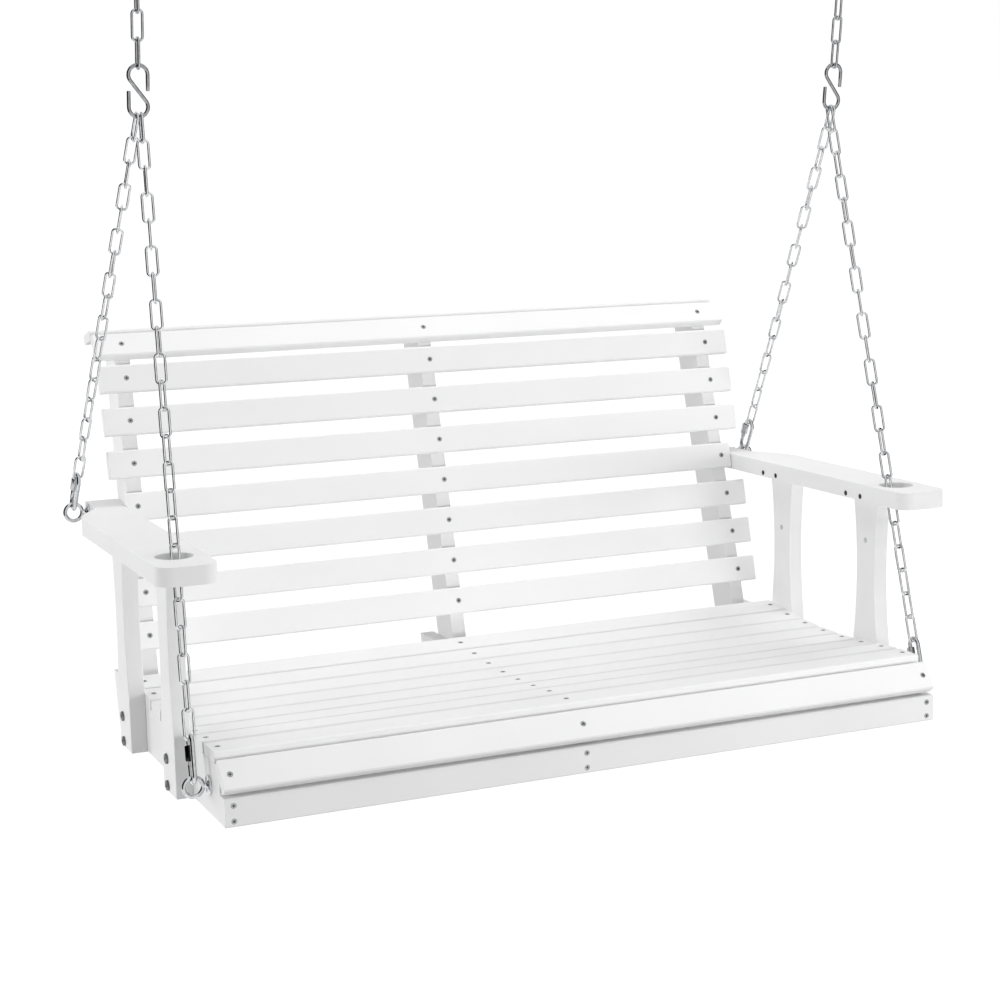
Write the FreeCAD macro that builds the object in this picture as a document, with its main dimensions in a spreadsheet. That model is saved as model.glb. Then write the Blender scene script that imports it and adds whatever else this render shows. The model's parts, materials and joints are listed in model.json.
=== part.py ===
import FreeCAD, Part
import math
import os
import re
import Sketcher

Vector = FreeCAD.Vector
Placement = FreeCAD.Placement
X_AXIS = Vector(1, 0, 0)
Y_AXIS = Vector(0, 1, 0)
Z_AXIS = Vector(0, 0, 1)
SIDES = {"left": -1, "right": 1}
# Flats on the wire of the links, of the other fittings, on nuts and on flanges
LINK_FLATS = 5
WIRE_FLATS = 8
NUT_FLATS = 6
FLANGE_FLATS = 12
# How a sketch numbers the points of a side and of a circle
START, END, CENTRE = 1, 2, 3

# Driving sizes in millimetres and degrees. The bench is drawn in a frame of its own, with x along
# the seat from its middle, y from the apron's face to the back and z up from under the rails.
SIZES = {
    # seat frame
    "seat_length": 1060,
    "rail_thick": 23,
    "rail_tail": 17,
    "apron_thick": 20,
    "apron_high": 38,
    "nosing_bed": 35.4,
    "nosing_tilt": 51.6,
    "nosing_wide": 43,
    "crest_radius": 885,
    "dish_radius": 1300,
    "dish_low": 262,
    "dish_high": 64.3,
    "dish_join": 140,
    "dish_end": 458,
    # seat slats
    "slat_thick": 15,
    "edge_ease": 2,
    "seat_slat_count": 8,
    "seat_slat_wide": 48,
    "seat_slat_gap": 4.9,
    "seat_slat_first": 61.4,
    # back
    "back_lean": 14.2,
    "stile_thick": 23,
    "stile_deep": 60,
    "stile_foot": 468.3,
    "stile_middle": -5.5,
    "stile_splay": 1.1,
    "back_slat_count": 8,
    "back_slat_wide": 41,
    "back_slat_pitch": 63.1,
    "back_slat_first": 143,
    "back_slat_over": 18,
    "bevel_gap": 7.4,
    "bevel_tilt": 27.8,
    "cap_wide": 41,
    # arms and posts
    "arm_top": 326.7,
    "arm_thick": 25,
    "arm_wide": 80,
    "arm_front": 48,
    "arm_corner": 22,
    "arm_shoulder": 482,
    "arm_ease": 18,
    "arm_gap": 1,
    "tail_start": 547,
    "tail_wide": 42,
    "tail_over": 6,
    "hole_wide": 50,
    "hole_lead": 9,
    "post_thick": 23,
    "post_wide": 62,
    "post_tenon": 15,
    "front_post": 176,
    "rear_post": 413.75,
    "waist_low": 84,
    "waist_deep": 8,
    "waist_drop": 6,
    # screws, bolts and nuts
    "screw_head": 8,
    "screw_wire": 4,
    "screw_sink": 2.4,
    "screw_proud": 0.4,
    "slat_screw": 40,
    "long_screw": 45,
    "apron_screw_low": 8.1,
    "apron_screw_high": 28.3,
    "stile_screw_low": 24,
    "stile_screw_high": 54,
    "arm_screw_up": 6.5,
    "arm_screw_apart": 38,
    "post_bolt_low": 9,
    "post_bolt_high": 45.5,
    "post_bolt_shift": 9,
    "post_bolt_wire": 6,
    "post_bolt_head": 14,
    "post_bolt_cap": 3,
    "dowel_wide": 8,
    "dowel_deep": 14,
    "front_dowel_drop": 65,
    "rear_dowel_drop": 82,
    # eye bolts and their nuts
    "eye_wire": 6,
    "eye_outer": 31,
    "eye_reach": 21,
    "eye_flange": 26,
    "eye_flange_thick": 2.5,
    "front_eye_back": 66,
    "front_eye_up": 39,
    "rear_eye_inset": 10,
    "nut_flats": 10,
    "nut_thick": 5,
    "nut_play": 0.15,
    "bolt_end": 3,
    # quick links
    "quick_length": 66,
    "quick_wide": 26,
    "quick_wire": 6,
    "quick_mouth": 8,
    "quick_mouth_up": 10,
    "sleeve_length": 20,
    "sleeve_cover": 3,
    "sleeve_flats": 10,
    "sleeve_play": 0.3,
    # chains, hooks and where they hang
    "chain_wire": 4,
    "chain_pitch": 35,
    "chain_wide": 17,
    "wire_gap": 0.6,
    "front_chain_links": 23,
    "rear_chain_links": 17,
    "upper_chain_links": 4,
    "hang_out": 527,
    "side_gap": 0.5,
    "ess_wire": 4,
    "ess_wide": 28,
    "ess_high": 69,
    "ess_tip": 21,
    "ess_waist": 6,
    "hook_wire": 8,
    "hook_bowl": 28,
    "hook_drop": 10,
    "hook_neck": 7,
    "hook_tip": 12,
    "hook_collar": 18,
    "hook_collar_thick": 3,
    "hook_thread": 45,
}

doc = FreeCAD.newDocument("SwingBench")
sheet = doc.addObject("Spreadsheet::Sheet", "Sizes")
for row, (alias, number) in enumerate(SIZES.items(), start=1):
    sheet.set(f"A{row}", alias)
    sheet.set(f"B{row}", str(number))
    sheet.setAlias(f"B{row}", alias)
doc.recompute()


def formula(text):
    """Points the aliases in a formula at the sheet: each alias has an underscore, functions have none."""
    return re.sub(r"[a-z]+(?:_[a-z]+)+", lambda word: "Sizes." + word.group(), text)


def value(text):
    return float(sheet.evalExpression(formula(text)))


def bind(thing, name, text):
    thing.setExpression(name, formula(text))


def turned(place, degrees):
    """Placement at a point of the bench, turned about the x axis."""
    return Placement(place, FreeCAD.Rotation(X_AXIS, degrees))


# Places that several pieces share, worked out from the sizes
STILE_FACE = "(seat_length / 2 - rail_thick)"
RAIL_X = "((seat_length - rail_thick) / 2)"
STILE_X = "(seat_length / 2 - rail_thick - stile_thick / 2)"
MIDDLE_RAIL_X = "(stile_middle - (stile_thick + rail_thick) / 2)"
TAIL_FACE = f"({STILE_FACE} + tail_wide)"
ARM_UNDER = "(arm_top - arm_thick)"
ARM_MIDDLE = "(arm_top - arm_thick / 2)"
STILE_BACK_AT_ARM = f"(stile_foot + {ARM_MIDDLE} * tan(back_lean) + stile_deep / cos(back_lean))"
JOIN_Z = "(dish_high + dish_radius - sqrt(dish_radius ^ 2 - (dish_low - dish_join) ^ 2))"
DISH_END_Z = "(dish_high + dish_radius - sqrt(dish_radius ^ 2 - (dish_end - dish_low) ^ 2))"
CREST_Y = "(dish_join - crest_radius * (dish_low - dish_join) / dish_radius)"
CREST_Z = f"({JOIN_Z} - sqrt(crest_radius ^ 2 - (dish_join - {CREST_Y}) ^ 2))"
BED_TOP_Z = f"({CREST_Z} + sqrt(crest_radius ^ 2 - (nosing_bed - {CREST_Y}) ^ 2))"
BED_FOOT_Z = f"({BED_TOP_Z} - (nosing_bed - apron_thick) * tan(nosing_tilt))"
BEVEL_START = "(back_slat_first + (back_slat_count - 2) * back_slat_pitch + back_slat_wide / 2 + bevel_gap)"
BEVEL_DEEP = "(back_slat_wide * sin(bevel_tilt))"
STILE_TOP = f"({BEVEL_START} + back_slat_wide * cos(bevel_tilt))"
RAIL_END = "(stile_foot + stile_deep / cos(back_lean) + rail_tail)"

rail_columns = [-value(RAIL_X), value(MIDDLE_RAIL_X), value(RAIL_X)]
# Each stile's place at its foot, and the way it leans sideways: the outer ones lean in
stile_columns = [(-value(STILE_X), 1), (value("stile_middle"), 0), (value(STILE_X), -1)]
splay = value("tan(stile_splay)")
lean = value("back_lean")
nodes = {}
bench_nodes = []


# Outlines: corners are pairs of formulas, and a corner with a radius and a turn bends the side
# that follows it, to the left for a turn of 1 and to the right for -1.
def bent_side(start, end, radius, turn):
    chord = end - start
    left = Vector(-chord.y, chord.x, 0).normalize()
    centre = (start + end) * 0.5 + left * (turn * math.sqrt(radius ** 2 - chord.Length ** 2 / 4))
    first, last = (start, end) if turn > 0 else (end, start)
    angles = [math.atan2(point.y - centre.y, point.x - centre.x) for point in (first, last)]
    if angles[1] < angles[0]:
        angles[1] += 2 * math.pi
    return Part.ArcOfCircle(Part.Circle(centre, Z_AXIS, radius), *angles)


def pin(sketch, side, end, across, up):
    vertical_axis, horizontal_axis = -2, -1
    for kind, axis, text in (("DistanceX", vertical_axis, across), ("DistanceY", horizontal_axis, up)):
        if text == "0":
            sketch.addConstraint(Sketcher.Constraint("PointOnObject", side, end, axis))
        else:
            index = sketch.addConstraint(Sketcher.Constraint(kind, side, end, value(text)))
            bind(sketch, f"Constraints[{index}]", text)


def draw(body, role, corners):
    sketch = body.newObject("Sketcher::SketchObject", "Outline")
    plane = next(feature for feature in body.Origin.OriginFeatures if feature.Role == role)
    sketch.AttachmentSupport = [(plane, "")]
    sketch.MapMode = "FlatFace"
    places = [Vector(value(corner[0]), value(corner[1]), 0) for corner in corners]
    ends = []
    for side, corner in enumerate(corners):
        start, end = places[side], places[(side + 1) % len(corners)]
        if len(corner) == 2:
            sketch.addGeometry(Part.LineSegment(start, end))
            ends.append((START, END))
        else:
            radius, turn = corner[2:]
            sketch.addGeometry(bent_side(start, end, value(radius), turn))
            ends.append((START, END) if turn > 0 else (END, START))
            index = sketch.addConstraint(Sketcher.Constraint("Radius", side, value(radius)))
            bind(sketch, f"Constraints[{index}]", radius)
    for side, corner in enumerate(corners):
        following = (side + 1) % len(corners)
        meeting = (side, ends[side][1], following, ends[following][0])
        sketch.addConstraint(Sketcher.Constraint("Coincident", *meeting))
        pin(sketch, side, ends[side][0], corner[0], corner[1])
    return sketch


def board(node, role, corners, thick, place, both_ways=True, hole=None):
    """A board with the outline that the corners give, padded to its thickness or length."""
    body = doc.addObject("PartDesign::Body", node)
    body.Label = node
    sketch = draw(body, role, corners)
    if hole:
        across, up, radius = hole
        circle = sketch.addGeometry(Part.Circle(Vector(value(across), value(up), 0), Z_AXIS, value(radius)))
        pin(sketch, circle, CENTRE, across, up)
        index = sketch.addConstraint(Sketcher.Constraint("Radius", circle, value(radius)))
        bind(sketch, f"Constraints[{index}]", radius)
    pad = body.newObject("PartDesign::Pad", "Pad")
    pad.Profile = sketch
    pad.Midplane = both_ways
    bind(pad, "Length", thick)
    body.Tip = pad
    body.Placement = place
    nodes[node] = body
    bench_nodes.append(node)
    return body


def slat(node, length, wide, thick, place):
    """A slat with eased edges, lying on its place with its thickness upwards."""
    half, inner = f"({wide}) / 2", f"({wide}) / 2 - edge_ease"
    corners = [
        (f"-({half})", "edge_ease"),
        (f"-({inner})", "0"),
        (inner, "0"),
        (half, "edge_ease"),
        (half, f"{thick} - edge_ease"),
        (inner, thick),
        (f"-({inner})", thick),
        (f"-({half})", f"{thick} - edge_ease"),
    ]
    board(node, "YZ_Plane", corners, length, place)


# Bars: rings of corners joined by flat faces, and a last ring of one corner is a point
def flat_face(corners):
    return Part.Face(Part.makePolygon(corners + corners[:1]))


def ring_solid(rings, closed=False):
    faces = []
    for ring, following in zip(rings, rings[1:] + rings[:1] if closed else rings[1:]):
        for index in range(len(ring)):
            after = (index + 1) % len(ring)
            if len(following) == 1:
                faces.append(flat_face([ring[index], ring[after], following[0]]))
            else:
                faces.append(flat_face([ring[index], ring[after], following[after], following[index]]))
    if not closed:
        faces += [flat_face(ring) for ring in (rings[0], rings[-1]) if len(ring) > 1]
    solid = Part.Solid(Part.Shell(faces))
    if solid.Volume < 0:
        solid.reverse()
    return solid


def section(centre, across, other, half_flats, sides, stretch=1):
    """Corners of a regular section with flats on both sides of the bar's plane of bending."""
    radius = half_flats / math.cos(math.pi / sides)
    angles = [2 * math.pi * (index + 0.5) / sides for index in range(sides)]
    return [
        centre + across * (radius * stretch * math.cos(angle)) + other * (radius * math.sin(angle))
        for angle in angles
    ]


def mitred_bar(points, normal, wire, sides, closed=False):
    """A wire of straight runs in one plane, mitred where they meet."""
    rings = []
    for index, point in enumerate(points):
        runs = []
        if closed or index > 0:
            runs.append((point - points[index - 1]).normalize())
        if closed or index < len(points) - 1:
            runs.append((points[(index + 1) % len(points)] - point).normalize())
        middle = Vector(0, 0, 0)
        for run in runs:
            middle += run
        middle.normalize()
        rings.append(section(point, normal.cross(middle), normal, wire / 2, sides, 1 / runs[0].dot(middle)))
    return ring_solid(rings, closed)


def turned_bar(start, along, stations, sides=NUT_FLATS):
    """A straight bar whose stations give the distance along it and the width across its flats."""
    across = along.cross(X_AXIS if abs(along.x) < 0.5 else Y_AXIS).normalize()
    other = along.cross(across)
    rings = []
    for way, wide in stations:
        centre = start + along * way
        rings.append(section(centre, across, other, wide / 2, sides) if wide else [centre])
    return ring_solid(rings)


def bend_points(half_wide, half_high):
    """One end of a wire loop: the four corners whose runs all touch the round bend."""
    cut = half_wide * math.tan(math.pi / 8)
    low = half_high - half_wide + cut
    return [(half_wide, low), (cut, half_high), (-cut, half_high), (-half_wide, low)]


def in_plane(points, centre, across, along):
    return [centre + across * x + along * y for x, y in points]


def add_shape(node, shapes, bench=True):
    feature = doc.addObject("Part::Feature", node)
    feature.Label = node
    feature.Shape = shapes[0] if len(shapes) == 1 else Part.makeCompound(shapes)
    nodes[node] = feature
    if bench:
        bench_nodes.append(node)


def screw(face, inward, length):
    """A wood screw with a countersunk head, just proud of the face, tapering to its point."""
    proud, point = value("screw_proud"), 0
    stations = [
        (-proud, value("screw_head")),
        (value("screw_sink"), value("screw_wire")),
        (length, point),
    ]
    return turned_bar(face, inward, stations)


# Seat rails, dished on top, with a sloping bed for the nosing at the front
RAIL_OUTLINE = [
    ("apron_thick", "0"),
    (RAIL_END, "0"),
    (f"{RAIL_END} + {DISH_END_Z} * tan(back_lean)", DISH_END_Z),
    ("dish_end", DISH_END_Z, "dish_radius", -1),
    ("dish_join", JOIN_Z, "crest_radius", 1),
    ("nosing_bed", BED_TOP_Z),
    ("apron_thick", BED_FOOT_Z),
]
for node, x in zip(("left", "middle", "right"), rail_columns):
    board(f"{node}_seat_rail", "YZ_Plane", RAIL_OUTLINE, "rail_thick", turned(Vector(x, 0, 0), 0))


def rail_top(y):
    """Height and slope of the rails' top edge."""
    if y < value("dish_join"):
        centre, rise = value(CREST_Y), math.sqrt(value("crest_radius") ** 2 - (y - value(CREST_Y)) ** 2)
        return value(CREST_Z) + rise, (centre - y) / rise
    fall = math.sqrt(value("dish_radius") ** 2 - (y - value("dish_low")) ** 2)
    return value("dish_high + dish_radius") - fall, (y - value("dish_low")) / fall


# Seat slats lie on the curve, the nosing on its bed and the apron on the rails' front ends
seat_screws = []
dish_lift = value("dish_radius - sqrt(dish_radius ^ 2 - seat_slat_wide ^ 2 / 4)")
for index in range(int(value("seat_slat_count"))):
    y = value("seat_slat_first") + index * value("seat_slat_wide + seat_slat_gap")
    z, slope = rail_top(y)
    place = turned(Vector(0, y, z + dish_lift), math.degrees(math.atan(slope)))
    slat(f"seat_slat_{index + 1}", "seat_length", "seat_slat_wide", "slat_thick", place)
    for x in rail_columns:
        face = place.multVec(Vector(x, 0, value("slat_thick")))
        seat_screws.append(screw(face, place.Rotation.multVec(-Z_AXIS), value("slat_screw")))

bed = turned(Vector(0, value("nosing_bed"), value(BED_TOP_Z)), value("nosing_tilt"))
nosing = bed.multiply(Placement(Vector(0, -value("nosing_wide") / 2, 0), FreeCAD.Rotation()))
slat("front_nosing_slat", "seat_length", "nosing_wide", "slat_thick", nosing)
apron = turned(Vector(0, value("apron_thick"), value("apron_high") / 2), 90)
slat("front_apron", "seat_length", "apron_high", "apron_thick", apron)
for x in rail_columns:
    face = nosing.multVec(Vector(x, 0, value("slat_thick")))
    seat_screws.append(screw(face, nosing.Rotation.multVec(-Z_AXIS), value("slat_screw")))
    for z in (value("apron_screw_low"), value("apron_screw_high")):
        seat_screws.append(screw(Vector(x, 0, z), Y_AXIS, value("long_screw")))
add_shape("seat_screws", seat_screws)

# Back stiles lean back; the top front corner is bevelled for the first slat and the top cut square
STILE_OUTLINE = [
    ("0", "0"),
    ("stile_deep", "stile_deep * tan(back_lean)"),
    ("stile_deep", STILE_TOP),
    (BEVEL_DEEP, STILE_TOP),
    ("0", BEVEL_START),
]
stile_place = turned(Vector(0, value("stile_foot"), 0), -lean)
for node, (x, inward) in zip(("left", "middle", "right"), stile_columns):
    place = turned(Vector(x, value("stile_foot"), 0), -lean)
    sideways = FreeCAD.Rotation(Y_AXIS, inward * value("stile_splay"))
    drop = Z_AXIS * (-abs(inward) * value("stile_thick / 2 * sin(stile_splay)"))
    place = place.multiply(Placement(drop, sideways))
    board(f"{node}_back_stile", "YZ_Plane", STILE_OUTLINE, "stile_thick", place)


def on_stile(deep, up, degrees):
    """A place on the stiles, measured back from their front face and up along it."""
    return stile_place.multiply(turned(Vector(0, deep, up), degrees))


# Back slats from the bevel down, and the cap on the stiles' tops
bevel_middle = value(f"({BEVEL_START} + {STILE_TOP}) / 2")
back_rows = [(bevel_middle, on_stile(value(BEVEL_DEEP) / 2, bevel_middle, 90 - value("bevel_tilt")))]
for index in reversed(range(int(value("back_slat_count")) - 1)):
    up = value("back_slat_first") + index * value("back_slat_pitch")
    back_rows.append((up, on_stile(0, up, 90)))
back_screws = []
FULL_BACK = f"2 * ({STILE_FACE} + back_slat_over)"
BETWEEN_ARMS = f"2 * ({STILE_FACE} - arm_gap)"
for index, (up, place) in enumerate(back_rows):
    beside_arm = abs(place.Base.z - value(ARM_MIDDLE)) < value("(back_slat_wide + arm_thick) / 2")
    length = BETWEEN_ARMS if beside_arm else FULL_BACK
    slat(f"back_slat_{index + 1}", length, "back_slat_wide", "slat_thick", place)
cap = on_stile(value(f"{BEVEL_DEEP} + cap_wide / 2"), value(STILE_TOP), 0)
slat("back_cap_slat", FULL_BACK, "cap_wide", "slat_thick", cap)
for up, place in back_rows + [(value(STILE_TOP), cap)]:
    for x, inward in stile_columns:
        face = place.multVec(Vector(x + inward * up * splay, 0, value("slat_thick")))
        back_screws.append(screw(face, place.Rotation.multVec(-Z_AXIS), value("slat_screw")))
add_shape("back_screws", back_screws)


# Chains: the front and rear chain of a side meet on the lower bend of its S-hook. Their lengths
# from the eye bolts' rings set where that is.
LINK_TALL = "(chain_pitch + wire_gap + chain_wire)"
QUICK_TALL = "(quick_length - quick_wire)"
RING_TOP = "((eye_outer - eye_wire) / 2)"
EYE_TO_QUICK = "((eye_wire + quick_wire) / 2 + wire_gap)"
QUICK_TO_LINK = "((quick_wire + chain_wire) / 2 + wire_gap)"
LINK_TO_ESS = "((chain_wire + ess_wire) / 2 + wire_gap)"
REAR_EYE_Y = f"({STILE_BACK_AT_ARM} - rear_eye_inset)"
FIRST_LINK = f"({QUICK_TALL} - {EYE_TO_QUICK} - {QUICK_TO_LINK})"
CHAIN_BESIDE = f"((chain_wire / cos(180 / {LINK_FLATS}) + side_gap) / 2)"
front_eye = Vector(value("seat_length / 2 + eye_reach"), value("front_eye_back"), value("front_eye_up"))
rear_eye = Vector(value(f"{TAIL_FACE} + eye_reach"), value(REAR_EYE_Y), value(ARM_MIDDLE))
eyes = {"front": front_eye, "rear": rear_eye}
beside = {"front": -value(CHAIN_BESIDE), "rear": value(CHAIN_BESIDE)}
ring_tops = {end: eye + Z_AXIS * value(RING_TOP) for end, eye in eyes.items()}


def chain_length(end):
    return value(f"{FIRST_LINK} + ({end}_chain_links - 1) * chain_pitch + {LINK_TALL} - {LINK_TO_ESS}")


def hanging_point():
    """Where the two chains of a side meet, seen along x: the top of the triangle on the two rings."""
    front, rear = ring_tops["front"], ring_tops["rear"]
    reach = {}
    for end, top in ring_tops.items():
        sideways = top.x - value("hang_out") - beside[end]
        reach[end] = math.sqrt(chain_length(end) ** 2 - sideways ** 2)
    base = Vector(0, rear.y - front.y, rear.z - front.z)
    along = (reach["front"] ** 2 - reach["rear"] ** 2 + base.Length ** 2) / (2 * base.Length)
    rise = math.sqrt(reach["front"] ** 2 - along ** 2)
    base.normalize()
    return Vector(0, front.y, front.z) + base * along + X_AXIS.cross(base) * rise


hang = hanging_point()

# Arms beside the back: rounded at the front, drawn in behind the shoulder to a tail along the
# stile, holed for the front chain and mortised from below for the posts
ARM_INNER = STILE_FACE
ARM_OUTER = f"({STILE_FACE} + arm_wide)"
ARM_END = f"({STILE_BACK_AT_ARM} + tail_over)"
TAIL_INNER = f"({STILE_FACE} - {ARM_UNDER} / cos(back_lean) * tan(stile_splay))"
TAIL_STEP = "(stile_foot + arm_top * tan(back_lean))"
SHOULDER = f"atan(({ARM_OUTER} - {TAIL_FACE}) / (tail_start - arm_shoulder))"
EASED_X = f"({ARM_OUTER} - arm_ease * sin({SHOULDER}))"
EASED_Y = f"(arm_shoulder + arm_ease * cos({SHOULDER}))"
front_top = ring_tops["front"]
at_arm = (value(ARM_MIDDLE) - front_top.z) / (hang.z - front_top.z)
hole_y = front_top.y + at_arm * (hang.y - front_top.y) - value("hole_lead")
POST_LINES = {"front": "front_post", "rear": "rear_post"}


def arm_outline(side):
    return [
        (f"{side} * {ARM_INNER}", "arm_front + arm_corner", "arm_corner", side),
        (f"{side} * ({ARM_INNER} + arm_corner)", "arm_front"),
        (f"{side} * ({ARM_OUTER} - arm_corner)", "arm_front", "arm_corner", side),
        (f"{side} * {ARM_OUTER}", "arm_front + arm_corner"),
        (f"{side} * {ARM_OUTER}", "arm_shoulder - arm_ease", f"arm_ease / tan({SHOULDER} / 2)", side),
        (f"{side} * {EASED_X}", EASED_Y),
        (f"{side} * {TAIL_FACE}", "tail_start"),
        (f"{side} * {TAIL_FACE}", ARM_END),
        (f"{side} * {TAIL_INNER}", ARM_END),
        (f"{side} * {TAIL_INNER}", TAIL_STEP),
        (f"{side} * {ARM_INNER}", TAIL_STEP),
    ]


def mortise_outline(side, line):
    near, far = f"{side} * seat_length / 2", f"{side} * (seat_length / 2 + post_thick)"
    front, rear = f"{line} - post_wide / 2", f"{line} + post_wide / 2"
    return [(near, front), (far, front), (far, rear), (near, rear)]


for name, side in SIDES.items():
    place = Placement(Vector(0, 0, value(ARM_UNDER)), FreeCAD.Rotation())
    hole = (f"{side} * ({STILE_FACE} + arm_wide / 2)", str(hole_y), "hole_wide / 2")
    arm = board(f"{name}_arm", "XY_Plane", arm_outline(side), "arm_thick", place, False, hole)
    for line in POST_LINES.values():
        outline = draw(arm, "XY_Plane", mortise_outline(side, line))
        pocket = arm.newObject("PartDesign::Pocket", "Mortise")
        pocket.Profile = outline
        pocket.Reversed = True
        bind(pocket, "Length", "post_tenon")
        arm.Tip = pocket

# Posts outside the rails, waisted, with their tops in the arms
POST_TOP = f"({ARM_UNDER} + post_tenon)"
WAIST_TOP = f"({ARM_UNDER} - waist_drop)"
WAIST_RADIUS = f"((({WAIST_TOP} - waist_low) ^ 2 / 4 + waist_deep ^ 2) / (2 * waist_deep))"
POST_OUTLINE = [
    ("-post_wide / 2", "0"),
    ("post_wide / 2", "0"),
    ("post_wide / 2", "waist_low", WAIST_RADIUS, -1),
    ("post_wide / 2", WAIST_TOP),
    ("post_wide / 2", POST_TOP),
    ("-post_wide / 2", POST_TOP),
    ("-post_wide / 2", WAIST_TOP, WAIST_RADIUS, -1),
    ("-post_wide / 2", "waist_low"),
]
long_screws = []
post_bolts = []
dowels = []
for name, side in SIDES.items():
    outward = X_AXIS * side
    for end, line in POST_LINES.items():
        y = value(line)
        place = turned(Vector(side * value("(seat_length + post_thick) / 2"), y, 0), 0)
        board(f"{name}_{end}_post", "YZ_Plane", POST_OUTLINE, "post_thick", place)
        for shift in (-value("arm_screw_apart") / 2, value("arm_screw_apart") / 2):
            face = Vector(side * value(ARM_INNER), y + shift, value(f"{ARM_UNDER} + arm_screw_up"))
            long_screws.append(screw(face, outward, value("long_screw")))
        for z in (value("post_bolt_low"), value("post_bolt_high")):
            face = Vector(side * value("seat_length / 2 + post_thick"), y + value("post_bolt_shift"), z)
            head, wire = value("post_bolt_head"), value("post_bolt_wire")
            reach = value("post_thick + rail_thick - bolt_end")
            stations = [(-value("post_bolt_cap"), head), (0, head), (0, wire), (reach, wire)]
            post_bolts.append(turned_bar(face, -outward, stations, WIRE_FLATS))
        face = Vector(side * value("seat_length / 2"), y, value(f"{ARM_UNDER} - {end}_dowel_drop"))
        wide = value("dowel_wide")
        stations = [(-value("screw_proud"), wide), (value("dowel_deep"), wide)]
        dowels.append(turned_bar(face, outward, stations, WIRE_FLATS))
for (x, inward), away in zip(stile_columns, (-1, -1, 1)):
    for z in (value("stile_screw_low"), value("stile_screw_high")):
        y = value("stile_foot + stile_deep / 2 / cos(back_lean)") + z * math.tan(math.radians(lean))
        face = Vector(x - away * value("stile_thick") / 2 + inward * z * splay, y, z)
        long_screws.append(screw(face, X_AXIS * away, value("slat_screw")))
add_shape("long_screws", long_screws)
add_shape("post_bolts", post_bolts)
add_shape("post_cross_dowels", dowels)


# Eye bolts: a ring across the bench, a flange on the wood and a shank through it to a nut
def eye_bolt(eye, side, grip):
    radius = value("(eye_outer - eye_wire) / 2")
    ring = section(eye, X_AXIS, Z_AXIS, radius, FLANGE_FLATS)
    wood, seat = value("eye_reach"), value("eye_reach - eye_flange_thick")
    wire, flange = value("eye_wire"), value("eye_flange")
    end = wood + grip + value("nut_thick + bolt_end")
    stations = [(radius, wire), (seat, wire), (seat, flange), (wood, flange), (wood, wire), (end, wire)]
    shank = turned_bar(eye, X_AXIS * -side, stations, FLANGE_FLATS)
    return mitred_bar(ring, Y_AXIS, wire, NUT_FLATS, closed=True).fuse(shank)


def holed_bar(start, along, length, flats, bore):
    """A six-sided piece with a bore, such as a nut or a sleeve."""
    blank = turned_bar(start, along, [(0, flats), (length, flats)])
    return blank.cut(turned_bar(start, along, [(0, bore), (length, bore)], FLANGE_FLATS))


def mirrored(point, side):
    return Vector(side * point.x, point.y, point.z)


def loop_points(half_wide, half_high):
    top = bend_points(half_wide, half_high)
    return top + [(-x, -y) for x, y in top]


def chain(start, down, count, normal, lead):
    """Links that take turns edge on and face on; an odd count also twists by a quarter turn in all."""
    outline = loop_points(value("(chain_wide - chain_wire) / 2"), value(LINK_TALL) / 2)
    twist = 90 + 90 * (count % 2) / count
    solids = []
    for index in range(count):
        centre = start + down * (value(LINK_TALL) / 2 - lead + index * value("chain_pitch"))
        facing = FreeCAD.Rotation(down, index * twist).multVec(normal)
        points = in_plane(outline, centre, facing.cross(down), down)
        solids.append(mitred_bar(points, facing * -1, value("chain_wire"), LINK_FLATS, closed=True))
    return solids


# Quick links: a loop with a mouth in its rear leg, which the sleeve on that leg closes
def quick_link(centre, across, up, normal):
    leg, half = value("(quick_wide - quick_wire) / 2"), value(QUICK_TALL) / 2
    mouth_top = value("quick_mouth_up + quick_mouth / 2")
    mouth_foot = value("quick_mouth_up - quick_mouth / 2")
    outline = [(leg, mouth_top)] + loop_points(leg, half) + [(leg, mouth_foot)]
    return mitred_bar(in_plane(outline, centre, across, up), normal, value("quick_wire"), WIRE_FLATS)


def quick_sleeve(centre, across, up):
    foot = value("quick_mouth_up + quick_mouth / 2 + sleeve_cover - sleeve_length")
    start = centre + across * value("(quick_wide - quick_wire) / 2") + up * foot
    bore = value(f"quick_wire / cos(180 / {WIRE_FLATS}) + 2 * sleeve_play")
    return holed_bar(start, up, value("sleeve_length"), value("sleeve_flats"), bore)


REAR_EYE_UP = f"({ARM_MIDDLE} * cos(back_lean) + ({REAR_EYE_Y} - stile_foot) * sin(back_lean))"
REAR_GRIP = f"(tail_wide + {REAR_EYE_UP} * tan(stile_splay) + stile_thick + nut_play)"
GRIPS = {"front": "rail_thick", "rear": REAR_GRIP}
eye_nuts = []
slides = {}
for name, side in SIDES.items():
    for end, eye in eyes.items():
        grip = value(GRIPS[end])
        add_shape(f"{name}_{end}_eye_bolt", [eye_bolt(mirrored(eye, side), side, grip)])
        nut_seat = mirrored(eye, side) - X_AXIS * (side * (value("eye_reach") + grip))
        thick, flats, bore = value("nut_thick"), value("nut_flats"), value("eye_wire + 2 * nut_play")
        eye_nuts.append(holed_bar(nut_seat, X_AXIS * -side, thick, flats, bore))
        ring_top = mirrored(ring_tops[end], side)
        top = Vector(side * (value("hang_out") + beside[end]), hang.y, hang.z)
        up = (top - ring_top).normalize()
        normal = (X_AXIS - up * up.x).normalize()
        across = up.cross(normal)
        centre = ring_top + up * value(f"{QUICK_TALL} / 2 - {EYE_TO_QUICK}")
        add_shape(f"{name}_{end}_quick_link", [quick_link(centre, across, up, normal)])
        add_shape(f"{name}_{end}_sleeve", [quick_sleeve(centre, across, up)])
        slides[f"{name}_{end}_sleeve"] = up * -1
        links = chain(top, up * -1, int(value(f"{end}_chain_links")), normal, value(LINK_TO_ESS))
        add_shape(f"{name}_{end}_chain", links)
add_shape("eye_bolt_nuts", eye_nuts)


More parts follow.
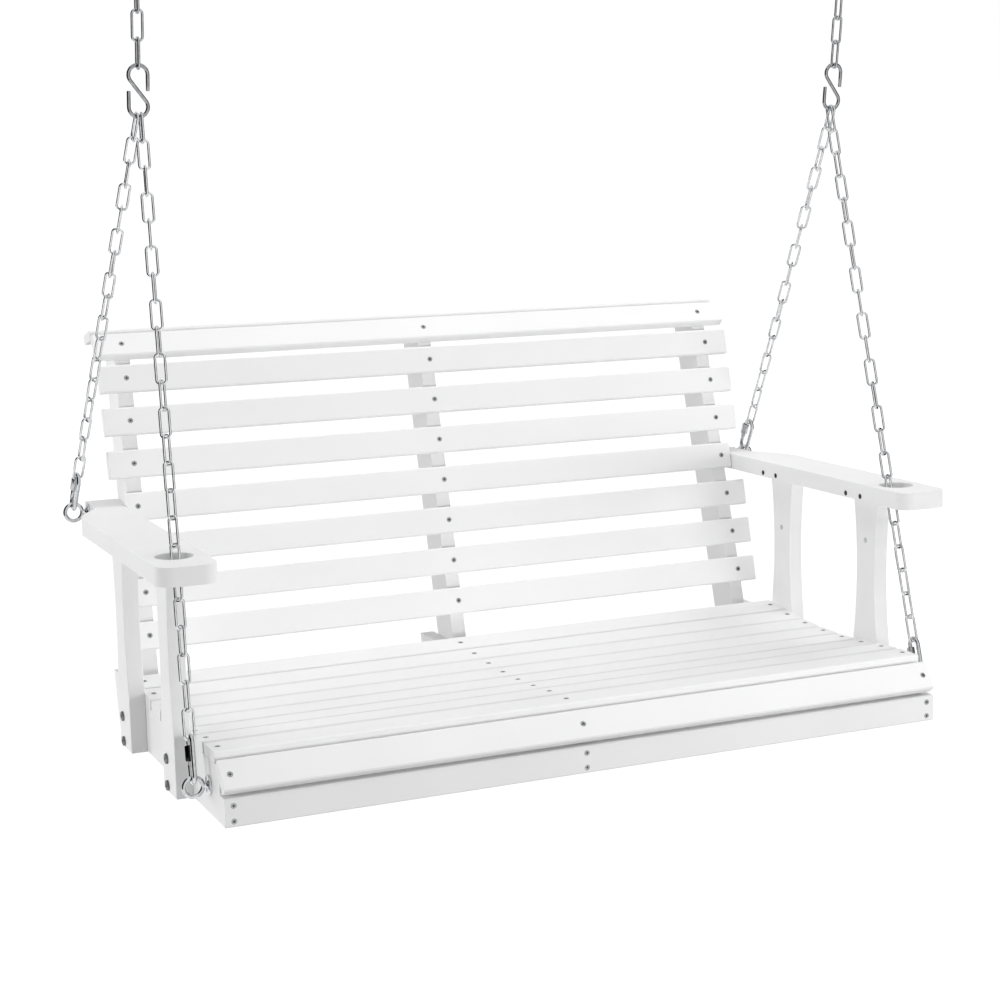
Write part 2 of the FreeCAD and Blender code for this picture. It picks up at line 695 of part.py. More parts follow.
# Ceiling hooks, upper chains and S-hooks, in the frame of the ceiling: z is 0 on it
LINK_TO_HOOK = "((hook_wire + chain_wire) / 2 + wire_gap)"
BOWL_CENTRE = "(-hook_drop - hook_bowl / 2 - hook_neck)"
HOOK_LOW = f"({BOWL_CENTRE} - hook_bowl / 2)"
UPPER_TALL = f"({LINK_TALL} + (upper_chain_links - 1) * chain_pitch)"
ESS_TALL = "(ess_high - ess_wire)"
ESS_TOP = f"({HOOK_LOW} + {LINK_TO_HOOK} - {UPPER_TALL} + {LINK_TO_ESS})"


def ceiling_hook(x):
    bowl, drop = value("hook_bowl / 2"), value("hook_drop")
    collar = value("hook_collar_thick")
    low = [(y, value(BOWL_CENTRE) - z) for y, z in bend_points(bowl, bowl)]
    outline = [(0, -collar / 2), (0, -drop), (bowl, -drop - bowl)]
    outline += low + [(-bowl, value(BOWL_CENTRE) + value("hook_tip"))]
    points = in_plane(outline, Vector(x, 0, 0), Y_AXIS, Z_AXIS)
    bar = mitred_bar(points, X_AXIS, value("hook_wire"), WIRE_FLATS)
    foot = Vector(x, 0, -collar / 2)
    shank = Part.makeCylinder(value("hook_wire / 2"), value("hook_thread") + collar / 2, foot)
    wide = value("hook_collar")
    plate = turned_bar(Vector(x, 0, -collar), Z_AXIS, [(0, wide), (collar, wide)], FLANGE_FLATS)
    return bar.fuse([shank, plate])


def ess_hook(centre):
    """Two hooks in one wire: each half goes round its bend and back past the middle to its tip."""
    bend, half = value("(ess_wide - ess_wire) / 2"), value(ESS_TALL) / 2
    top = bend_points(bend, half)
    tip = (bend, half - bend - value("ess_tip"))
    waist = (-bend, half - bend - value("ess_waist"))
    upper = [tip] + top + [waist]
    outline = upper + [(-x, -z) for x, z in reversed(upper)]
    return mitred_bar(in_plane(outline, centre, X_AXIS, Z_AXIS), Y_AXIS, value("ess_wire"), WIRE_FLATS)


for name, side in SIDES.items():
    x = side * value("hang_out")
    add_shape(f"{name}_ceiling_hook", [ceiling_hook(x)], False)
    bowl = Vector(x, 0, value(HOOK_LOW))
    upper = chain(bowl, Z_AXIS * -1, int(value("upper_chain_links")), Y_AXIS, value(LINK_TO_HOOK))
    add_shape(f"{name}_upper_chain", upper, False)
    add_shape(f"{name}_s_hook", [ess_hook(Vector(x, 0, value(f"{ESS_TOP} - {ESS_TALL} / 2")))], False)
doc.recompute()

# The bench hangs with its centre of mass under the S-hooks, so it tilts back a little
WOOD, STEEL = 600e-9, 7850e-9
mass = 0
moment = Vector(0, 0, 0)
for node in bench_nodes:
    density = WOOD if nodes[node].TypeId == "PartDesign::Body" else STEEL
    for solid in nodes[node].Shape.Solids:
        mass += density * solid.Volume
        moment += solid.CenterOfMass * (density * solid.Volume)
balance = moment * (1 / mass) - hang
tilt = math.degrees(math.atan2(balance.y, -balance.z))
hung = turned(Vector(0, 0, value(f"{ESS_TOP} - {ESS_TALL}")), -tilt)
hung = hung.multiply(Placement(hang * -1, FreeCAD.Rotation()))
for node in bench_nodes:
    nodes[node].Placement = hung.multiply(nodes[node].Placement)
doc.recompute()

failed = [item.Label for item in doc.Objects if "Invalid" in item.State or "Error" in item.State]
failed += [node for node, item in nodes.items() if item.Shape.isNull() or not item.Shape.isValid()]
if failed:
    raise RuntimeError("not built: " + ", ".join(failed))

os.makedirs("parts", exist_ok=True)
for node, item in nodes.items():
    item.Shape.exportStep(f"parts/{node}.step")

# Where the joints turn and slide
print(f"bench mass {mass:.2f} kg, tilt {tilt:.3f} degrees, hanging point {hang}")
print(f"chain turns at z {value(HOOK_LOW) + value(LINK_TO_HOOK):.3f}, S-hook at {value(ESS_TOP):.3f},"
      f" bench at {value(ESS_TOP) - value(ESS_TALL):.3f}")
for node, way in slides.items():
    print(node, "slides along", hung.Rotation.multVec(way))
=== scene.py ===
import json
import math

import bmesh
import bpy
import numpy as np
from mathutils import Matrix, Vector


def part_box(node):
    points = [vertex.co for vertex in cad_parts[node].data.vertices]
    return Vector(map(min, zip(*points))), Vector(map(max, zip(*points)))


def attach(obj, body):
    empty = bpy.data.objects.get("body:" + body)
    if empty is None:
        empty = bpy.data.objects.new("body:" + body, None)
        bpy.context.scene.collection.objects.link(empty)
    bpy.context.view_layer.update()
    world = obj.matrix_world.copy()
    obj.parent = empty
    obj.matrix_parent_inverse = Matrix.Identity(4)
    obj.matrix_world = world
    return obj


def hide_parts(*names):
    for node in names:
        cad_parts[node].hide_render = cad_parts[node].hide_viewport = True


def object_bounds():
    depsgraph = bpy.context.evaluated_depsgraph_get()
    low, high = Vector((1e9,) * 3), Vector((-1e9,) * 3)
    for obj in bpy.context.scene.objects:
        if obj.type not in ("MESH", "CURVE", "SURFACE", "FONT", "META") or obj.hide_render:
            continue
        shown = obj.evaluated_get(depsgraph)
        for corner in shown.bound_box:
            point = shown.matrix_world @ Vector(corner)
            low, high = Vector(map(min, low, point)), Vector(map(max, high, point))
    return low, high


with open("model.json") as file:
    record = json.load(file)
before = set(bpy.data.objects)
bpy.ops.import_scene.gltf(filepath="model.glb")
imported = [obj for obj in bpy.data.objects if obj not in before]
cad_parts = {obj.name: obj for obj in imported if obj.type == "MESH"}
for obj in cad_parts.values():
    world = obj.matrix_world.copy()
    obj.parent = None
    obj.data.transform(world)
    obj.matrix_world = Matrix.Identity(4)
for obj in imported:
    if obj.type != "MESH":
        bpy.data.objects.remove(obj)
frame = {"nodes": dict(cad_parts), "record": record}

MM = 0.001
X_AXIS, Y_AXIS, Z_AXIS = BENCH_AXES = Vector((1, 0, 0)), Vector((0, 1, 0)), Vector((0, 0, 1))
NODES = frame["nodes"]
BODY_OF = {node: body for body, members in frame["record"]["behaviour"]["bodies"].items()
           for node in members}
SLOT_OF = {row["node"]: row["material_slot"] for row in frame["record"]["subparts"]}
SIDES, ENDS = {"left": -1, "right": 1}, ("front", "rear")
cad_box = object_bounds()


# Finishes

# Real sizes of the patterns in paint and plating
GRAIN_WIDE, GRAIN_LONG, ORANGE_PEEL, PAINT_CLOUD = 3 * MM, 90 * MM, 2.5 * MM, 180 * MM
ZINC_SPOT, ZINC_GRIT = 6 * MM, 1.2 * MM


def linear(colour):
    """Linear colour of an sRGB hex value."""
    channels = [int(colour[start:start + 2], 16) / 255 for start in (1, 3, 5)]
    return [c / 12.92 if c <= 0.04045 else ((c + 0.055) / 1.055) ** 2.4 for c in channels] + [1.0]


def add(tree, kind, sockets=(), **settings):
    """Adds a shader node: settings are its properties, and each socket takes a value or another output."""
    shader = tree.nodes.new(kind)
    for name, setting in settings.items():
        setattr(shader, name, setting)
    for name, given in dict(sockets).items():
        if isinstance(given, bpy.types.NodeSocket):
            tree.links.new(given, shader.inputs[name])
        else:
            shader.inputs[name].default_value = given
    return shader


def finish(name):
    """A material with nothing in it yet, and its node tree."""
    material = bpy.data.materials.new(name)
    material.use_nodes = True
    tree = material.node_tree
    tree.nodes.clear()
    return material, tree


def painted_pine(name, grain_scale):
    """Pine boards sprayed with satin white paint: an even soft white in which the grain still shows
    as faint ridges along the board, with a fine orange peel from the spray gun."""
    material, tree = finish(name)
    place = add(tree, "ShaderNodeTexCoord")
    stretched = add(tree, "ShaderNodeMapping", {"Vector": place.outputs["Object"], "Scale": grain_scale})
    grain = add(tree, "ShaderNodeTexNoise",
                {"Vector": stretched.outputs["Vector"], "Scale": 1.0, "Detail": 3.0})
    peel = add(tree, "ShaderNodeTexNoise",
               {"Vector": place.outputs["Object"], "Scale": 1 / ORANGE_PEEL, "Detail": 1.0})
    cloud = add(tree, "ShaderNodeTexNoise", {"Vector": place.outputs["Object"], "Scale": 1 / PAINT_CLOUD})
    tones = add(tree, "ShaderNodeValToRGB", {"Fac": cloud.outputs["Fac"]})
    tones.color_ramp.elements[0].position = 0.3
    tones.color_ramp.elements[0].color = linear("#EFEFEF")
    tones.color_ramp.elements[1].position = 0.7
    tones.color_ramp.elements[1].color = linear("#F3F3F3")
    gloss = add(tree, "ShaderNodeMapRange", {"Value": grain.outputs["Fac"], "To Min": 0.42, "To Max": 0.56})
    ridges = add(tree, "ShaderNodeBump",
                 {"Height": grain.outputs["Fac"], "Strength": 0.1, "Distance": 0.3 * MM})
    skin = add(tree, "ShaderNodeBump",
               {"Height": peel.outputs["Fac"], "Strength": 0.06, "Distance": 0.1 * MM,
                "Normal": ridges.outputs["Normal"]})
    surface = add(tree, "ShaderNodeBsdfPrincipled",
                  {"Base Color": tones.outputs["Color"], "Roughness": gloss.outputs["Result"],
                   "Normal": skin.outputs["Normal"], "IOR": 1.47})
    add(tree, "ShaderNodeOutputMaterial", {"Surface": surface.outputs["BSDF"]})
    return material


def plated_steel(name, low, high, smooth, rough):
    """Zinc-plated steel: a faintly mottled mirror between two tones, duller in patches."""
    material, tree = finish(name)
    place = add(tree, "ShaderNodeTexCoord")
    mottle = add(tree, "ShaderNodeTexNoise",
                 {"Vector": place.outputs["Object"], "Scale": 1 / ZINC_SPOT, "Detail": 3.0})
    grit = add(tree, "ShaderNodeTexNoise",
               {"Vector": place.outputs["Object"], "Scale": 1 / ZINC_GRIT, "Detail": 1.0})
    tones = add(tree, "ShaderNodeValToRGB", {"Fac": mottle.outputs["Fac"]})
    tones.color_ramp.elements[0].position = 0.35
    tones.color_ramp.elements[0].color = linear(low)
    tones.color_ramp.elements[1].position = 0.65
    tones.color_ramp.elements[1].color = linear(high)
    gloss = add(tree, "ShaderNodeMapRange",
                {"Value": mottle.outputs["Fac"], "To Min": smooth, "To Max": rough})
    skin = add(tree, "ShaderNodeBump",
               {"Height": grit.outputs["Fac"], "Strength": 0.05, "Distance": 0.1 * MM})
    surface = add(tree, "ShaderNodeBsdfPrincipled",
                  {"Base Color": tones.outputs["Color"], "Metallic": 1.0,
                   "Roughness": gloss.outputs["Result"], "Normal": skin.outputs["Normal"]})
    add(tree, "ShaderNodeOutputMaterial", {"Surface": surface.outputs["BSDF"]})
    return material


# The grain runs along the length of each kind of board
ACROSS, ALONG = 1 / GRAIN_WIDE, 1 / GRAIN_LONG
pine_along_seat = painted_pine("satin_white_pine_along_seat", (ALONG, ACROSS, ACROSS))
pine_front_to_back = painted_pine("satin_white_pine_front_to_back", (ACROSS, ALONG, ACROSS))
pine_upright = painted_pine("satin_white_pine_upright", (ACROSS, ACROSS, ALONG))
zinc_chain = plated_steel("bright_zinc_chain_steel", "#CFD1D3", "#E2E3E4", 0.04, 0.08)
# The upper chain and the S-hooks are the same zinc as the lower chain, with darker tones painted in: painted
# reflection of darker surroundings, not a darker metal
upper_chain_painted_darker = plated_steel("upper_chain_zinc_painted_darker_reflection", "#A6A8AA", "#BEBFC1", 0.04, 0.08)
hook_painted_darker = plated_steel("hook_zinc_painted_darker_reflection", "#8A8C8E", "#A4A6A8", 0.04, 0.08)
zinc_fitting = plated_steel("bright_zinc_fitting_steel", "#BABCBE", "#D2D3D5", 0.04, 0.08)
zinc_screw = plated_steel("zinc_screw_steel", "#9EA0A2", "#B8BABC", 0.34, 0.46)
dark_screw = plated_steel("blackened_screw_steel", "#3A3B3D", "#505254", 0.34, 0.46)
# Dark colour painted into the screw recesses as their shade
painted_shade_in_recess = plated_steel("screw_recess_painted_shade", "#26272A", "#343537", 0.5, 0.6)
barrel_nut = plated_steel("zinc_barrel_nut_steel", "#B2B4B6", "#CCCDCF", 0.28, 0.4)
dark_bolt = plated_steel("dark_zinc_bolt_steel", "#606265", "#7C7E81", 0.28, 0.4)
sleeve_steel = plated_steel("dark_zinc_sleeve_steel", "#2C2D2F", "#3C3D3F", 0.2, 0.3)
# Finish of each slot's pieces, unless a piece is given another
FINISH_OF = {
    "zinc_chain": zinc_chain,
    "zinc_fitting": zinc_fitting,
    "screw_steel": zinc_screw,
    "black_bolt": dark_bolt,
    "sleeve_steel": sleeve_steel,
}


# Making pieces

def set_up(name, made):
    """Puts a mesh, lamp or camera into the scene as an object."""
    thing = bpy.data.objects.new(name, made)
    bpy.context.scene.collection.objects.link(thing)
    return thing


def piece_from(bm, node, suffix, material=None, smooth_angle=40):
    """Turns a finished bmesh into a piece that stands for a CAD node and moves with its body."""
    bmesh.ops.recalc_face_normals(bm, faces=bm.faces)
    mesh = bpy.data.meshes.new(f"{node}_{suffix}")
    bm.to_mesh(mesh)
    bm.free()
    mesh.materials.append(material or FINISH_OF[SLOT_OF[node]])
    piece = set_up(mesh.name, mesh)
    mesh.polygons.foreach_set("use_smooth", [True] * len(mesh.polygons))
    mesh.set_sharp_from_angle(angle=math.radians(smooth_angle))
    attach(piece, BODY_OF[node])
    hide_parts(node)
    return piece


def welded(node):
    """The CAD node's mesh with the corners of neighbouring faces joined."""
    bm = bmesh.new()
    bm.from_mesh(NODES[node].data)
    bmesh.ops.remove_doubles(bm, verts=bm.verts, dist=0.002 * MM)
    return bm


def solids_of(node):
    """Corner points of each separate solid in a CAD node."""
    bm = welded(node)
    waiting = {vertex.index: vertex for vertex in bm.verts}
    solids = []
    while waiting:
        group, frontier = [], [waiting.pop(min(waiting))]
        while frontier:
            vertex = frontier.pop()
            group.append(np.array(vertex.co))
            for edge in vertex.link_edges:
                other = edge.other_vert(vertex)
                if other.index in waiting:
                    frontier.append(waiting.pop(other.index))
        solids.append(np.array(group))
    bm.free()
    return solids


def middle_along(points, ways):
    """Point midway between the ends of a solid along each of three square directions."""
    middle = Vector()
    for way in ways:
        reach = points @ np.array(way)
        middle += way * (reach.min() + reach.max()) / 2
    return middle


def own_axes(points):
    """Centre of a solid, and its directions from its longest to its thinnest."""
    spread = np.linalg.eigh(np.cov((points - points.mean(0)).T))[1]
    ways = [Vector(spread[:, column]) for column in (2, 1, 0)]
    return middle_along(points, ways), *ways


def across_bench(points):
    """Way out of the bench, middle and length of a fastener that lies across it."""
    outward = X_AXIS * math.copysign(1, points[:, 0].mean())
    return outward, middle_along(points, BENCH_AXES), np.ptp(points[:, 0])


def eased_board(node, ease, material):
    """The CAD board with its edges rounded over, as sanding leaves them."""
    bm = welded(node)
    bmesh.ops.dissolve_limit(bm, angle_limit=math.radians(1), verts=bm.verts, edges=bm.edges)
    edges = [edge for edge in bm.edges if edge.is_manifold and edge.calc_face_angle() > math.radians(24)]
    bmesh.ops.bevel(bm, geom=edges, offset=ease, segments=3, profile=0.5, affect="EDGES",
                    clamp_overlap=True, offset_type="OFFSET")
    bmesh.ops.triangulate(bm, faces=[face for face in bm.faces if len(face.verts) > 4])
    board = piece_from(bm, node, "board", material)
    even_faces = board.modifiers.new("even_faces", "WEIGHTED_NORMAL")
    even_faces.keep_sharp = True


def arc(centre, across, up, radius, start, end, steps):
    """Points on an arc, with angles in degrees from across towards up."""
    angles = [math.radians(start + (end - start) * step / steps) for step in range(steps + 1)]
    return [centre + across * (radius * math.cos(a)) + up * (radius * math.sin(a)) for a in angles]


def skin_rings(bm, rings, closed=False):
    """Faces between each ring of points and the next; closed joins the last to the first."""
    for ring, following in zip(rings, rings[1:] + rings[:1] if closed else rings[1:]):
        for side in range(len(ring)):
            after = (side + 1) % len(ring)
            bm.faces.new((ring[side], ring[after], following[after], following[side]))
    if not closed:
        bm.faces.new(list(reversed(rings[0])))
        bm.faces.new(rings[-1])


def round_wire(bm, path, normal, radius, closed=False, sides=14):
    """A round wire along points in the plane of that normal; open ends have an eased edge."""
    rings = []
    last = len(path) - 1
    for index, point in enumerate(path):
        before = path[index - 1] if closed or index else point
        after = path[(index + 1) % len(path)] if closed or index < last else point
        along = (after - before).normalized()
        across = along.cross(normal)
        ways = [(0, 1.0)]
        if not closed and index in (0, last):
            ease = 0.25 * radius * (1 if index else -1)
            ways = [(0, 1.0), (ease, 0.75)] if index else [(ease, 0.75), (0, 1.0)]
        for shift, scale in ways:
            rings.append([
                bm.verts.new(point + along * shift
                             + (across * math.cos(a) + normal * math.sin(a)) * (radius * scale))
                for a in (2 * math.pi * side / sides for side in range(sides))
            ])
    skin_rings(bm, rings, closed)


ROUND = [2 * math.pi * step / 24 for step in range(24)]


def lathe(bm, start, along, stations, angles=ROUND, twist=0.0, hollow=False):
    """A turned piece: stations give the way along its axis and the radius there, which is a number
    or changes with the angle. A hollow piece joins its last station to its first."""
    across = along.orthogonal().normalized()
    other = along.cross(across)
    rings = []
    for way, radius in stations:
        ring = []
        for angle in angles:
            outward = across * math.cos(angle + twist) + other * math.sin(angle + twist)
            reach = radius(angle) if callable(radius) else radius
            ring.append(bm.verts.new(start + along * way + outward * reach))
        rings.append(ring)
    skin_rings(bm, rings, hollow)


def hexagon(flats):
    """Radius by angle of a hexagon with that size across its flats."""
    return lambda angle: flats / 2 / math.cos((angle + math.pi / 6) % (math.pi / 3) - math.pi / 6)


def hexagon_tube(bm, start, along, length, flats, face, chamfer, bore):
    """A six-sided tube, such as a nut or a sleeve, turned down to a smaller face at both ends."""
    stations = [(0, face), (chamfer, hexagon(flats)), (length - chamfer, hexagon(flats)),
                (length, face), (length, bore), (0, bore)]
    lathe(bm, start, along, stations, hollow=True)


def slotted(long, wide):
    """Radius by angle of a driver slot."""
    return lambda angle: min(long / 2 / max(abs(math.cos(angle)), 0.001),
                             wide / 2 / max(abs(math.sin(angle)), 0.001))


def crossed(long, wide):
    """Radius by angle of a cross recess, which is two slots."""
    slot = slotted(long, wide)
    return lambda angle: max(slot(angle), slot(angle + math.pi / 2))


def threads(start, end, pitch, root, crest):
    """Stations of a screw thread whose ridge winds along the axis."""
    def ridge(way):
        def radius(angle):
            turn = (way / pitch - angle / (2 * math.pi)) % 1
            return root + (crest - root) * (1 - abs(2 * turn - 1))
        return radius

    count = math.ceil((end - start) / (pitch / 4))
    ways = [start + (end - start) * step / count for step in range(count + 1)]
    return [(way, ridge(way)) for way in ways]


# Boards, with edges from sanded round to fresh from the saw
ROUNDED, SANDED, PLANED, SAWN = 2.2 * MM, 1.1 * MM, 0.5 * MM, 0.15 * MM
for node in [name for name, slot in SLOT_OF.items() if slot == "white_wood"]:
    if "seat_slat" in node:
        eased_board(node, SAWN, pine_along_seat)
    elif "slat" in node or node == "front_apron":
        eased_board(node, PLANED, pine_along_seat)
    elif node.endswith(("post", "stile")):
        eased_board(node, SANDED, pine_upright)
    elif node.endswith("arm"):
        eased_board(node, ROUNDED, pine_front_to_back)
    else:
        eased_board(node, SANDED, pine_front_to_back)

# Chains: each link has straight legs and tight round ends
LINK_WIRE, LINK_CORNER = 1.75 * MM, 5.4 * MM
# How far the many-sided CAD link reaches past the middle of its wire, and its wire's own radius
CAD_REACH, CAD_WIRE = 2.44 * MM, 2.0 * MM


def link_path(middle, along, across, half_long, half_wide):
    """Middle line of a link's wire, corner by corner."""
    corner = min(LINK_CORNER, half_wide)
    points = []
    for x, y, start in ((1, 1, 0), (-1, 1, 90), (-1, -1, 180), (1, -1, 270)):
        centre = middle + across * (x * (half_wide - corner)) + along * (y * (half_long - corner))
        points += arc(centre, across, along, corner, start, start + 90, 5)
    return points


for node in [name for name in SLOT_OF if name.endswith("_chain")]:
    bm = bmesh.new()
    for solid in solids_of(node):
        middle, along, across, _ = own_axes(solid)
        reach = np.abs((solid - np.array(middle)) @ np.array(along)).max()
        wide = np.abs((solid - np.array(middle)) @ np.array(across)).max()
        half_long = reach - CAD_REACH - CAD_WIRE + LINK_WIRE
        half_wide = wide - CAD_REACH + CAD_WIRE - LINK_WIRE
        path = link_path(middle, along, across, half_long, half_wide)
        round_wire(bm, path, across.cross(along), LINK_WIRE, closed=True)
    # The upper chain's zinc is painted darker, as a painted darker reflection
    piece_from(bm, node, "links", upper_chain_painted_darker if "upper" in node else None, smooth_angle=60)

# S-hooks: heavier wire than the links, grown outward from the bends that carry them
ESS_WIRE, ESS_END = 2.6 * MM, 0.3 * MM
for side in SIDES:
    node = f"{side}_s_hook"
    low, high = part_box(node)
    middle = (low + high) / 2
    grown = ESS_WIRE - CAD_WIRE
    bend = (high.x - low.x) / 2 - CAD_WIRE + grown
    centre_up = (high.z - low.z) / 2 - CAD_WIRE + grown - bend
    lean = math.degrees(math.asin(bend / centre_up))
    upper = [Vector((bend, 0, ESS_END))]
    upper += arc(Vector((0, 0, centre_up)), X_AXIS, Z_AXIS, bend, 0, 180 + lean, 22)
    points = upper + [Vector((-p.x, 0, -p.z)) for p in reversed(upper)]
    bm = bmesh.new()
    round_wire(bm, [middle + p for p in points], Y_AXIS, ESS_WIRE)
    # The hook's zinc is painted darker, as a painted darker reflection
    piece_from(bm, node, "wire", hook_painted_darker, smooth_angle=60)

# Screws: countersunk heads with a cross recess, each turned home to a different angle. The heads stand
# 0.4 mm proud of boards that have no hole, so recess and groove end above the wood.
HEAD, RECESS_LONG, RECESS_WIDE, RECESS_DEEP = 8.0 * MM, 4.0 * MM, 1.2 * MM, 0.3 * MM
SHANK, NECK, POINT, POINT_ROOT, POINT_TIP = 2 * MM, 3.2 * MM, 5 * MM, 1.5 * MM, 0.3 * MM
# Rim of the head and the groove inside it: depth below the top and inset from the edge, in mm
RIM = ((0.5, 0.1), (0.3, 0.0), (0.35, 0.35), (0.15, 0.7), (0.0, 0.9))
TURN_TO_NEXT = 2.4
ARM_ANGLE = math.atan2(RECESS_WIDE, RECESS_LONG)
CROSS_ANGLES = [math.pi / 2 * quarter + angle for quarter in range(4)
                for angle in (-ARM_ANGLE, 0, ARM_ANGLE, math.radians(28), math.pi / 4, math.radians(62))]
for node in ("seat_screws", "back_screws", "long_screws"):
    bm = bmesh.new()
    for index, solid in enumerate(solids_of(node)):
        tip = solid[np.argmax(np.linalg.norm(solid - solid.mean(0), axis=1))]
        far = np.argsort(np.linalg.norm(solid - tip, axis=1))[-6:]
        top = Vector(solid[far].mean(0))
        inward = (Vector(tip) - top).normalized()
        length = (Vector(tip) - top).length
        stations = [(length, POINT_TIP), (length - POINT, POINT_ROOT), (NECK, SHANK)]
        stations += [(depth * MM, HEAD / 2 - inset * MM) for depth, inset in RIM]
        stations += [(0, crossed(RECESS_LONG, RECESS_WIDE)),
                     (RECESS_DEEP, crossed(RECESS_LONG * 0.6, RECESS_WIDE * 0.7))]
        lathe(bm, top, inward, stations, CROSS_ANGLES, twist=index * TURN_TO_NEXT)
        bm.faces.ensure_lookup_table()
        # The last faces made are the recess's walls, the point's end and the recess's floor. The recess gets
        # painted shade, a dark steel colour standing in for its shadow, and the point's end is inside the
        # wood.
        for face in bm.faces[-len(CROSS_ANGLES) - 2:]:
            face.material_index = 1
    heads = piece_from(bm, node, "heads", dark_screw if node == "long_screws" else None)
    heads.data.materials.append(painted_shade_in_recess)

# Socket bolts on the posts' outer faces, and the barrel nuts they screw into on the inner faces
BOLT_HEAD, BOLT_CAP, BOLT_WIRE, SOCKET, SOCKET_DEEP = 14 * MM, 3 * MM, 6 * MM, 5 * MM, 2.4 * MM
bm = bmesh.new()
for solid in solids_of("post_bolts"):
    outward, middle, reach = across_bench(solid)
    stations = [(reach, BOLT_WIRE / 2 - 0.5 * MM), (reach - 1 * MM, BOLT_WIRE / 2),
                (BOLT_CAP, BOLT_WIRE / 2), (BOLT_CAP, BOLT_HEAD / 2),
                (0.9 * MM, BOLT_HEAD / 2), (0.25 * MM, BOLT_HEAD / 2 - 0.3 * MM),
                (0, BOLT_HEAD / 2 - 0.9 * MM), (0, hexagon(SOCKET)), (SOCKET_DEEP, hexagon(SOCKET * 0.95))]
    lathe(bm, middle + outward * (reach / 2), -outward, stations)
piece_from(bm, "post_bolts", "heads")
BARREL, SLOT_LONG, SLOT_WIDE, SLOT_DEEP = 8 * MM, 5.6 * MM, 1.2 * MM, 1.6 * MM
bm = bmesh.new()
for solid in solids_of("post_cross_dowels"):
    outward, middle, reach = across_bench(solid)
    stations = [(reach, BARREL / 2 - 0.4 * MM), (reach - 0.4 * MM, BARREL / 2), (0.35 * MM, BARREL / 2),
                (0.1 * MM, BARREL / 2 - 0.2 * MM), (0, BARREL / 2 - 0.5 * MM),
                (0, slotted(SLOT_LONG, SLOT_WIDE)),
                (SLOT_DEEP, slotted(SLOT_LONG - 0.4 * MM, SLOT_WIDE - 0.2 * MM))]
    lathe(bm, middle - outward * (reach / 2), outward, stations)
piece_from(bm, "post_cross_dowels", "ends", barrel_nut)

# Eye bolts: a ring bent from the shank's wire, with a flange against the wood
bench_back = own_axes(solids_of("front_apron")[0])[3]
bench_back *= math.copysign(1, bench_back.y)
EYE_WIRE, EYE_RING = 3 * MM, 12.5 * MM
# Neck and flange: way from the middle of the ring and radius, in mm
NECK_AND_FLANGE = ((15.2, 3.5), (17.2, 4.4), (18.4, 6.2), (18.6, 12.2), (18.9, 12.8),
                   (19.5, 13.0), (20.6, 13.0), (21.0, 12.8), (21.0, 3.0))
EYE_THREAD, EYE_PITCH, EYE_ROOT, EYE_CREST = 16 * MM, 1 * MM, 2.5 * MM, 2.98 * MM
for side, sign in SIDES.items():
    for end in ENDS:
        node = f"{side}_{end}_eye_bolt"
        solid = solids_of(node)[0]
        inward = X_AXIS * -sign
        way_in = solid @ np.array(inward)
        shank_end = Vector(solid[way_in > way_in.max() - 0.05 * MM].mean(0))
        length = np.ptp(way_in) - EYE_RING - EYE_WIRE
        eye = shank_end - inward * length
        ring = arc(eye, X_AXIS, X_AXIS.cross(bench_back), EYE_RING, 0, 352, 44)
        bm = bmesh.new()
        round_wire(bm, ring, bench_back, EYE_WIRE, closed=True)
        stations = [(EYE_RING, EYE_WIRE)] + [(way * MM, radius * MM) for way, radius in NECK_AND_FLANGE]
        stations += threads(length - EYE_THREAD, length - 0.6 * MM, EYE_PITCH, EYE_ROOT, EYE_CREST)
        stations += [(length, 2.2 * MM)]
        lathe(bm, eye, inward, stations)
        piece_from(bm, node, "ring")

# Hexagon nuts of the eye bolts
NUT_FLATS, NUT_FACE, NUT_CHAMFER, NUT_BORE = 10 * MM, 4.6 * MM, 0.6 * MM, 3.15 * MM
bm = bmesh.new()
for solid in solids_of("eye_bolt_nuts"):
    _, middle, thick = across_bench(solid)
    hexagon_tube(bm, middle - X_AXIS * (thick / 2), X_AXIS, thick,
                 NUT_FLATS, NUT_FACE, NUT_CHAMFER, NUT_BORE)
piece_from(bm, "eye_bolt_nuts", "hexagons")

